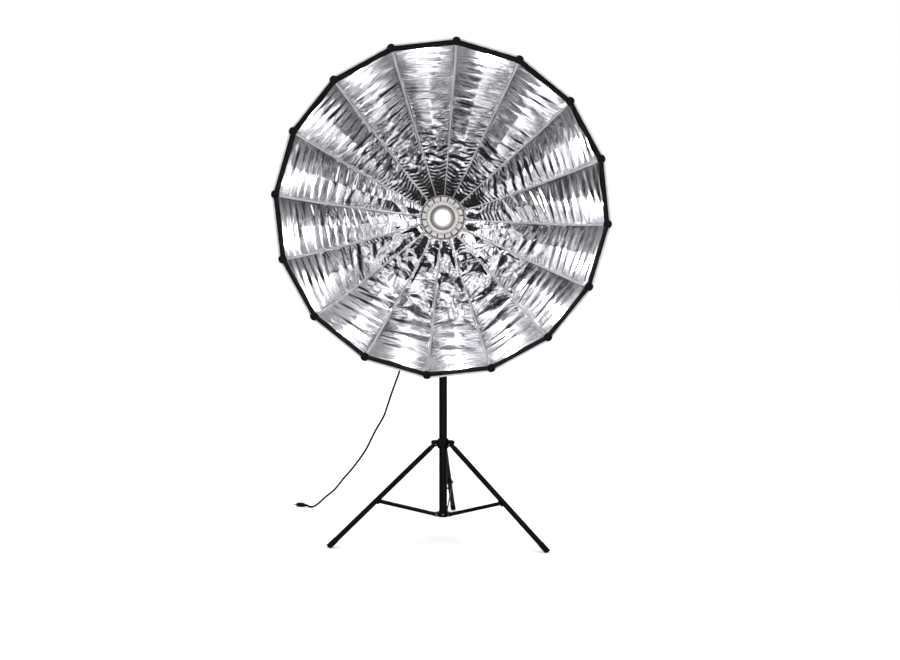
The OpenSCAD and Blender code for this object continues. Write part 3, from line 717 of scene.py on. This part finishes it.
def make_cap(i):
    """The moulded corner cap at the end of rib i, over its CAD solid."""
    angle = rib_angle(i)
    outline = []
    for k in range(32):
        a = math.tau * k / 32
        c, s = math.cos(a), math.sin(a)
        soft = (abs(c) ** 3.0 + abs(s) ** 3.0) ** (-1 / 3.0)
        outline.append((0.0134 * c * soft, 0.0150 * s * soft))
    rings = []
    for scale, rise in ((0.90, 0.0004), (1.0, 0.0016), (1.0, 0.0052),
                        (0.93, 0.0068), (0.72, 0.0076), (0.3, 0.0079)):
        rings.append([spoke(angle, x * scale, rim_r - 0.006 + y * scale, bowl_depth + rise)
                      for x, y in outline])
    cap = loft(f"corner_cap_{i + 1:02d}", np.array(rings), black_nylon)
    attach(cap, f"rib_{i + 1:02d}")


for n in range(RIBS):
    make_gore(n)
    make_welt(n)
    make_sleeve(n)
    make_cap(n)

# ---------- hub ----------

COVER_IN, COVER_OUT = 0.0575, 0.0665                    # radii of the ring's toothed cover
COLLAR_IN, COLLAR_OUT = 0.0632, 0.0935                  # radii of the collar of cloth behind the ring


def round_hub(r, a, y):
    """Points round the hub's axis at radius r and angles a, at y."""
    return np.stack([hub.x + r * np.sin(a), np.broadcast_to(y, a.shape), hub.z + r * np.cos(a)], -1)


rib_finish = split_by_distance(
    "rib_and_block", hub, (1.0, 0.0, 1.0), 0.0845,
    ((0.74, 0.71, 0.69), (0.88, 0.85, 0.83), 0.48, 0.5, 800.0), (0.005, 0.010, 0.42, 0.2, 900.0))


def make_hub_cover():
    """The toothed cover on the ring's face: a smooth annulus with a notch between every two hinges."""
    steps = 24
    turns = [rib_angle(i) - HALF + PITCH * k / steps for i in range(RIBS) for k in range(steps)]
    notch = [min(k, steps - k) * PITCH / steps * 0.063 < 0.0024 for _ in range(RIBS) for k in range(steps)]
    a = np.array(turns)
    outer = COVER_OUT - 0.0078 * np.array(notch, float)
    rings = []
    for share, ahead in ((0.0, -0.0002), (0.0, 0.0022), (0.06, 0.0030), (0.42, 0.0034), (0.5, 0.0026),
                         (0.9, 0.0026), (0.97, 0.0022), (1.0, 0.0013), (1.0, 0.0010)):
        rings.append(round_hub(COVER_IN + (outer - COVER_IN) * share, a, hub.y - ahead))
    cover = loft("hub_cover", np.array(rings)[::-1], pale_nylon, looped=True)
    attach(cover, "hub")


def make_hinge_pads():
    """Moulded cheeks that widen each hinge ear, so that only a narrow slit is left between two hinges."""
    for i in range(RIBS):
        cheeks = []
        for side in (-1, 1):
            rings = []
            for out, shrink in ((0.0655, 0.8), (0.0668, 0.0), (0.0835, 0.0), (0.0850, 0.9)):
                far = out * math.tan(HALF) - 0.0024 - shrink * 0.001
                section = [(0.0112, 0.0000), (0.0118, 0.0012), (far - 0.0006, 0.0012), (far, 0.0004),
                           (far, -0.0100), (0.0112, -0.0100)]
                rings.append([spoke(rib_angle(i), side * x, out, z - shrink * 0.001)
                              for x, z in section[::side]])
            cheeks.append(loft(f"c{i}{side}", np.array(rings), pale_nylon, smooth=False))
        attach(joined(f"hinge_cheeks_{i + 1:02d}", cheeks), "hub")


def make_hub_details():
    """Screws on the ring's cover, the ridges on the hinge blocks and the collar behind them."""
    screws = []
    for i in range(RIBS):
        centre = Vector(spoke(rib_angle(i), 0.0, 0.0628, 0.0024))
        profile = [(0.0026, 0), (0.0026, 0.0007), (0.0020, 0.0013),
                   (0.0012, 0.0015), (0.0009, 0.0009), (0.0003, 0.0008)]
        screws.append(turned(f"s{i}", profile, centre, (0, -1, 0), zinc, 16))
    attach(joined("ring_screws", screws), "hub")
    for i in range(RIBS):
        ridges_of_block = []
        for k in (-1, 0, 1):
            across = 0.0052 * k
            section = [(-0.0013, 0.0018), (-0.0009, 0.0030), (0.0009, 0.0030), (0.0013, 0.0018)]
            rings = [[spoke(rib_angle(i), across + x, out, ahead - lower) for x, ahead in section]
                     for out, lower in ((0.0690, 0.0008), (0.0700, 0.0), (0.0820, 0.0), (0.0832, 0.0008))]
            ridges_of_block.append(loft(f"r{i}{k}", np.array(rings), pale_nylon))
        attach(joined(f"block_ridges_{i + 1:02d}", ridges_of_block), f"rib_{i + 1:02d}")
    a = np.arange(96) * math.tau / 96
    wave = 0.0008 * np.sin(a * 24)
    rings = []
    for r, ahead in ((COLLAR_IN, -0.0150), (0.075, -0.0158), (0.088, -0.0150), (COLLAR_OUT, -0.0120),
                     (0.0930, -0.0128), (0.088, -0.0160), (0.075, -0.0168), (COLLAR_IN, -0.0160)):
        rings.append(round_hub(r, a, hub.y - ahead + wave * (r > 0.07)))
    collar = loft("hub_collar_cloth", np.array(rings)[::-1], [outer_cloth, silver], looped=True)
    # Inside 0.087 the collar is black cloth so that the slits between the hinges read dark: a dark sheet
    # standing in for their painted shade. Beyond that radius its front faces are silver lining.
    for face in collar.data.polygons:
        beyond = math.hypot(face.center.x - hub.x, face.center.z - hub.z) > 0.087
        face.material_index = int(beyond and face.normal.y < -0.1)
    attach(collar, "hub")


make_hub_cover()
make_hinge_pads()
make_hub_details()


def finish_cad(material, *nodes):
    """Gives CAD nodes their finish."""
    for name in nodes:
        mesh = frame["nodes"][name].data
        mesh.materials.clear()
        mesh.materials.append(material)


finish_cad(rib_finish, *[f"rib_{i + 1:02d}" for i in range(RIBS)])
finish_cad(pale_nylon, "speed_ring")
finish_cad(zinc, "rib_pins", "brace_pins")
finish_cad(frosted_dome(), "glass_dome")
finish_cad(powder_coat, "lamp_housing", "lamp_mount", "yoke", "yoke_arms")
finish_cad(black_nylon, "base_collar", "leg_collar", "mast_clamp", "leg_knob", "clamp_knob", "yoke_knob",
           "tilt_lever", "rear_panel", "control_dial")
finish_cad(black_tube, "base_tube", "mast_tube", "leg_rear", "leg_left", "leg_right",
           "brace_rear", "brace_left", "brace_right")
finish_cad(cord_rubber, "cord_gland")

# ---------- lamp ----------


def in_lamp(x, y, back):
    """A point in the lamp's frame: across, up, and behind the hub's face."""
    return hub.x + x, hub.y + back, hub.z + y


def rounded_plate(name, centre, size, corner, profile, material):
    """A plate that faces the lamp's back, through (shrink, distance behind the hub's face) steps."""
    wide, high = size
    rings = []
    for shrink, back in profile:
        ring = []
        for cx, cy, first in ((1, 1, 0), (-1, 1, 1), (-1, -1, 2), (1, -1, 3)):
            for k in range(6):
                a = (first + k / 5) * math.pi / 2
                x = centre[0] + cx * (wide / 2 - corner) + (corner - shrink) * math.cos(a)
                y = centre[1] + cy * (high / 2 - corner) + (corner - shrink) * math.sin(a)
                ring.append(in_lamp(x, y, back))
        rings.append(ring)
    return loft(name, np.array(rings), material, smooth=False)


def make_lamp_details():
    """Display, switch, fuse, screws and vents of the casing, and the dial's grip."""
    back = LAMP_BACK
    display = rounded_plate("display", (-0.015, 0.019), (0.034, 0.022), 0.002,
                            [(0, back + 0.0012), (0, back + 0.0022), (0.0006, back + 0.0026)], glossy_black)
    bezel = rounded_plate("switch_bezel", (0.002, -0.020), (0.016, 0.022), 0.002,
                          [(0, back - 0.0002), (0, back + 0.0012), (0.0008, back + 0.0018)], black_nylon)
    rocker_rings = []
    for y, rise in ((-0.0090, 0.0018), (-0.0086, 0.0030), (0.0, 0.0022), (0.0086, 0.0048), (0.0090, 0.0040)):
        rocker_rings.append([in_lamp(x, -0.020 + y, back + z) for x, z in
                             ((-0.0030, 0.0010), (0.0070, 0.0010), (0.0070, rise - 0.0006), (0.0064, rise),
                              (-0.0024, rise), (-0.0030, rise - 0.0006))])
    rocker = loft("switch_rocker", np.array(rocker_rings)[::-1], glossy_black, smooth=False)
    fuse = turned("fuse_cap", [(0.0072, -0.0002), (0.0072, 0.0030), (0.0062, 0.0042), (0.0030, 0.0044),
                               (0.0024, 0.0030), (0.0006, 0.0030)],
                  in_lamp(0.024, -0.034, back), (0, 1, 0), black_nylon, 28)
    screws = []
    for k, degrees in enumerate((25, 155, 335)):
        turn = math.radians(degrees)
        where = in_lamp(0.053 * math.cos(turn), 0.053 * math.sin(turn), back - 0.0002)
        screws.append(turned(f"s{k}", [(0.0034, 0), (0.0034, 0.0010), (0.0027, 0.0019), (0.0014, 0.0021),
                                       (0.0011, 0.0012), (0.0003, 0.0012)], where, (0, 1, 0), zinc, 20))
    vents = []
    bead = [(-0.0002, -0.0012), (0.0011, -0.0009), (0.0014, 0.0), (0.0011, 0.0009), (-0.0002, 0.0012)]
    for k in range(7):
        spot = back - 0.052 + 0.0062 * k
        rings = []
        for a in np.radians(np.arange(-52, 53, 4)):
            rings.append([in_lamp((CASING_R + rise) * math.sin(a), (CASING_R + rise) * math.cos(a), spot + y)
                          for rise, y in bead])
        vents.append(loft(f"v{k}", np.array(rings), powder_coat))
    catch = []
    for out, half in ((0.0640, 0.0085), (0.0700, 0.0085), (0.0715, 0.0070)):
        a = math.radians(300)
        ring = []
        for side, y in ((-1, 0.0205), (-1, 0.0375), (1, 0.0375), (1, 0.0205)):
            ring.append(in_lamp(out * math.sin(a) + side * half * math.cos(a),
                                out * math.cos(a) - side * half * math.sin(a), y))
        catch.append(ring)
    catch = soften(loft("bayonet_catch", np.array(catch), black_nylon, smooth=False), 0.0010)
    for piece in (display, bezel, rocker, fuse, joined("panel_screws", screws),
                  joined("casing_vents", vents), catch):
        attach(piece, "lamp")
    teeth = 40
    a = np.arange(teeth * 4) * math.tau / (teeth * 4)
    grip = 0.0126 + 0.0006 * (np.arange(teeth * 4) % 4 < 2)
    rings = []
    for y, inner in ((0.0022, 0.0), (0.0030, 1.0), (0.0118, 1.0), (0.0130, 0.0)):
        r = 0.0125 + (grip - 0.0125) * inner
        rings.append([in_lamp(DIAL_X + r[k] * math.cos(a[k]), DIAL_Y + r[k] * math.sin(a[k]), back + y)
                      for k in range(len(a))])
    rings += [[in_lamp(DIAL_X + 0.0110 * math.cos(b), DIAL_Y + 0.0110 * math.sin(b), back + y) for b in a]
              for y in (0.0130, 0.0022)]
    ring = loft("dial_grip", np.array(rings), black_nylon, looped=True)
    mark = rounded_plate("dial_mark", (DIAL_X, 0.0265), (0.0016, 0.0080), 0.0004,
                         [(0, back + 0.0142), (0, back + 0.0147), (0.0002, back + 0.0148)], white_print)
    for piece in (ring, mark):
        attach(piece, "dial")


make_lamp_details()

# ---------- stand ----------

LEGS = {"rear": math.radians(85), "left": math.radians(205), "right": math.radians(325)}
FOOT_R = 0.515                                          # tube's axis to the foot of a leg
FOOT_LIFT = 0.010                                       # floor to the end of a leg's own axis
BRACE_SHARE = 0.56                                      # share of a leg above its brace's pivot


def in_leg(turn, out, across, z):
    """A point in a leg's upright frame."""
    return (mast.x + out * math.cos(turn) - across * math.sin(turn),
            mast.y + out * math.sin(turn) + across * math.cos(turn), z)


def rivet(name, centre, axis, radius, material):
    """A low domed head that faces along an axis."""
    profile = [(radius, 0), (radius, 0.3 * radius), (0.8 * radius, 0.55 * radius),
               (0.45 * radius, 0.7 * radius), (0.1 * radius, 0.74 * radius)]
    return turned(name, profile, centre, axis, material, 28)


def make_stand_details():
    """Rivet heads at the leg and brace joints, a screw in the base collar, and ribbed rubber feet."""
    pivot = joints["leg_rear_fold"]["pos_m"]
    arm = math.hypot(pivot[0] - mast.x, pivot[1] - mast.y)
    high = pivot[2]
    lean = math.atan2(FOOT_R - arm, high - FOOT_LIFT)
    length = math.hypot(FOOT_R - arm, high - FOOT_LIFT)
    top = np.array([arm, high])
    down = np.array([math.sin(lean), -math.cos(lean)])
    beside = np.array([math.cos(lean), math.sin(lean)])
    joint = top + BRACE_SHARE * length * down - 0.008 * beside
    heads = []
    for name, turn in LEGS.items():
        sideways = np.array([-math.sin(turn), math.cos(turn), 0])
        for side in (-1, 1):
            spot = in_leg(turn, arm, side * 0.0134, high)
            heads.append(rivet(f"h{name}{side}", spot, sideways * side, 0.0052, zinc))
        pair = [rivet(f"b{name}{side}", in_leg(turn, joint[0], side * 0.0169, joint[1]), sideways * side,
                      0.0047, black_nylon) for side in (-1, 1)]
        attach(joined(f"brace_rivets_{name}", pair), f"brace_{name}")
        boot = []
        outline = [(0.0112, -0.034), (0.0120, -0.033)]
        for k in range(5):
            outline += [(0.0125, -0.029 + 0.007 * k), (0.0125, -0.0262 + 0.007 * k),
                        (0.0120, -0.0255 + 0.007 * k), (0.0120, -0.0226 + 0.007 * k)]
        outline += [(0.0121, 0.0110), (0.0114, 0.0123), (0.006, 0.0125)]
        for r, past in outline:
            ring = []
            for k in range(40):
                b = math.tau * k / 40
                spot = top + (length + past) * down + r * math.cos(b) * beside
                x, y, z = in_leg(turn, spot[0], r * math.sin(b), spot[1])
                ring.append((x, y, max(z, 0.0003)))
            boot.append(ring)
        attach(loft(f"foot_{name}", np.array(boot), foot_rubber), f"leg_{name}")
    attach(joined("leg_rivets", heads), "collar")
    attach(rivet("collar_screw", (mast.x, mast.y - 0.0223, 0.0945), (0, -1, 0), 0.0048, zinc), "stand")
    for name in ("yoke", "yoke_arms", "base_collar", "leg_collar", "mast_clamp", "leg_knob", "clamp_knob",
                 "yoke_knob", "lamp_mount", "rear_panel"):
        soften(frame["nodes"][name], 0.0005)


make_stand_details()

# ---------- studio ----------


def area_light(name, place_at, aim, size, power):
    """A rectangular light that faces a point."""
    data = bpy.data.lights.new(name, "AREA")
    data.shape = "RECTANGLE"
    data.size, data.size_y = size
    data.energy = power
    light = bpy.data.objects.new(name, data)
    light.location = place_at
    light.rotation_euler = (Vector(aim) - Vector(place_at)).to_track_quat("-Z", "Y").to_euler()
    bpy.context.scene.collection.objects.link(light)
    return light


LAMP_POWER = 3.0                                        # watts of the light in front of the dome
ROOM = 0.02                                             # the room's own light, all round
# Patches of light round the room: direction, half-width and soft edge in degrees, brightness
PANELS = [
    ((0, 0.9, 1), 25, 15, 0.8),                         # overhead and behind
    ((0, 1, 0.1), 55, 25, 0.5),                         # backdrop
    ((0.0, -1, 0.10), 10, 9, 2.8),                      # beside the camera
    ((0.75, -0.6, 0.05), 10, 9, 1.1),                   # right
    ((-0.95, -0.35, 0.1), 6, 8, 0.6),                   # left
    ((0.1, -0.6, 1), 7, 5, 0.9),                        # above the front
]


def make_studio():
    """Pale floor, a bright room behind and above, a dark front, and soft lights."""
    floor = new_piece("floor", [(-30, -30, 0), (30, -30, 0), (30, 30, 0), (-30, 30, 0)], [[0, 1, 2, 3]],
                      grained("floor", 0.84, 0.88, 0.9, grain=3.0))
    floor.visible_glossy = False                        # the lining mirrors a dark studio floor
    world = bpy.data.worlds.new("studio")
    bpy.context.scene.world = world
    world.use_nodes = True
    tree = world.node_tree
    back = tree.nodes["Background"]
    way = tree.nodes.new("ShaderNodeTexCoord").outputs["Generated"]
    light = None
    for towards, reach, edge, strength in PANELS:
        dot = add(tree, "ShaderNodeVectorMath", i0=way, i1=Vector(towards).normalized())
        dot.operation = "DOT_PRODUCT"
        inner, outer = math.cos(math.radians(reach)), math.cos(math.radians(reach + edge))
        value = spread(tree, dot.outputs["Value"], 0.0, strength, outer, inner, "SMOOTHSTEP")
        light = value if light is None else maths(tree, "ADD", light, value)
    light = maths(tree, "ADD", light, ROOM)
    seen = tree.nodes.new("ShaderNodeLightPath").outputs["Is Camera Ray"]
    strength = add(tree, "ShaderNodeMix", Factor=seen, B=1.0)
    tree.links.new(light, strength.inputs[2])
    tree.links.new(strength.outputs[0], back.inputs["Strength"])
    back.inputs["Color"].default_value = (1, 1, 1, 1)
    area_light("key", (-2.6, -3.4, 3.0), (0, 0, 1.2), (1.6, 1.6), 25)
    area_light("fill", (2.8, -3.0, 1.8), (0, 0, 1.2), (1.4, 1.8), 7)
    glow = area_light("lamp_glow", hub + Vector((0, -0.012, 0)), hub + Vector((0, -1, 0)), (0.06, 0.06),
                      LAMP_POWER)
    glow.data.shape = "DISK"
    glow.visible_camera = False
    sky = bpy.data.lights.new("soft_overhead", "SUN")
    sky.energy = 3.6
    sky.angle = math.radians(140)
    overhead = bpy.data.objects.new("soft_overhead", sky)
    overhead.visible_glossy = False
    bpy.context.scene.collection.objects.link(overhead)


make_studio()
bpy.context.scene.view_settings.view_transform = "Standard"
